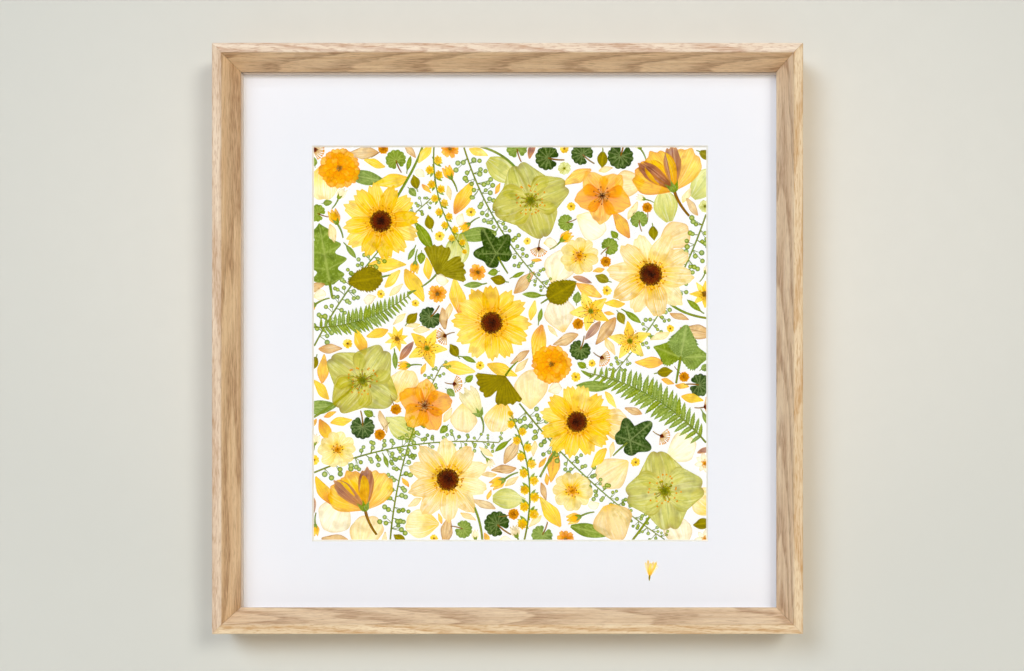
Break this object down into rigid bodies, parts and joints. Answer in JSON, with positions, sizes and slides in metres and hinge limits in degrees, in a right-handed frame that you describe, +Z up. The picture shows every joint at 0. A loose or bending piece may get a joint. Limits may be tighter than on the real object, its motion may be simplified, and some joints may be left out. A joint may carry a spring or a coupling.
{
  "type": "pressed flower frame",
  "caption": "Square light oak box frame with sloping inner sides and clear glass, holding pressed flowers, leaves and sprays behind a white window mat, hung from a back hanger.",
  "frame": {"origin": "the point on the wall, behind the middle of the top rail, where the nail holds the hanger", "axes": "+Y into the wall, +X to the viewer's right, +Z up; the picture faces -Y"},
  "size_m": [0.5, 0.0425, 0.5],
  "materials": {
    "oak": "satin clear finish on light oak",
    "glass": "clear low-glare picture glass",
    "white_card": "matte white card",
    "white_board": "matte white board",
    "hardboard": "smooth brown hardboard",
    "steel": "zinc-plated sheet",
    "rubber": "dark matte rubber",
    "yellow_petal": "pressed dry petal",
    "lime_petal": "pressed dry bract",
    "cream_petal": "pressed dry petal",
    "orange_petal": "pressed dry petal",
    "gold_petal": "pressed dry petal",
    "green_leaf": "pressed dry leaf",
    "dark_green_leaf": "pressed dry leaf",
    "olive_leaf": "pressed dry leaf"
  },
  "bodies": {
    "root": {"rail_top": "oak", "rail_left": "oak", "rail_bottom": "oak", "rail_right": "oak", "glass": "glass", "spacer_top": "white_card", "spacer_bottom": "white_card", "spacer_left": "white_card", "spacer_right": "white_card", "mat": "white_card", "flower_board": "white_board", "backing": "hardboard", "hanger": "steel", "hanger_screw_left": "steel", "hanger_screw_right": "steel", "tab_top_1": "steel", "tab_top_2": "steel", "tab_left_1": "steel", "tab_left_2": "steel", "tab_bottom_1": "steel", "tab_bottom_2": "steel", "tab_right_1": "steel", "tab_right_2": "steel", "bumper_left": "rubber", "bumper_right": "rubber", "coreopsis_1": "yellow_petal", "coreopsis_2": "yellow_petal", "coreopsis_3": "yellow_petal", "mat_bud": "yellow_petal", "dogwood_1": "lime_petal", "dogwood_2": "lime_petal", "dogwood_3": "lime_petal", "cosmos_1": "cream_petal", "cosmos_2": "cream_petal", "primrose_1": "cream_petal", "primrose_2": "cream_petal", "primrose_3": "cream_petal", "bell_1": "cream_petal", "rose_petal_1": "cream_petal", "nasturtium_1": "orange_petal", "nasturtium_2": "orange_petal", "pompom_1": "orange_petal", "pompom_2": "orange_petal", "wort_1": "gold_petal", "wort_2": "gold_petal", "wort_3": "gold_petal", "poppy_1": "gold_petal", "poppy_2": "gold_petal", "mimosa_1": "gold_petal", "mimosa_2": "gold_petal", "strawberry_1": "green_leaf", "oak_leaf_1": "green_leaf", "fern_1": "green_leaf", "fern_2": "green_leaf", "ivy_1": "dark_green_leaf", "ivy_2": "dark_green_leaf", "ginkgo_1": "olive_leaf", "ginkgo_2": "olive_leaf", "birch_1": "olive_leaf", "birch_2": "olive_leaf"}
  },
  "joints": []
}
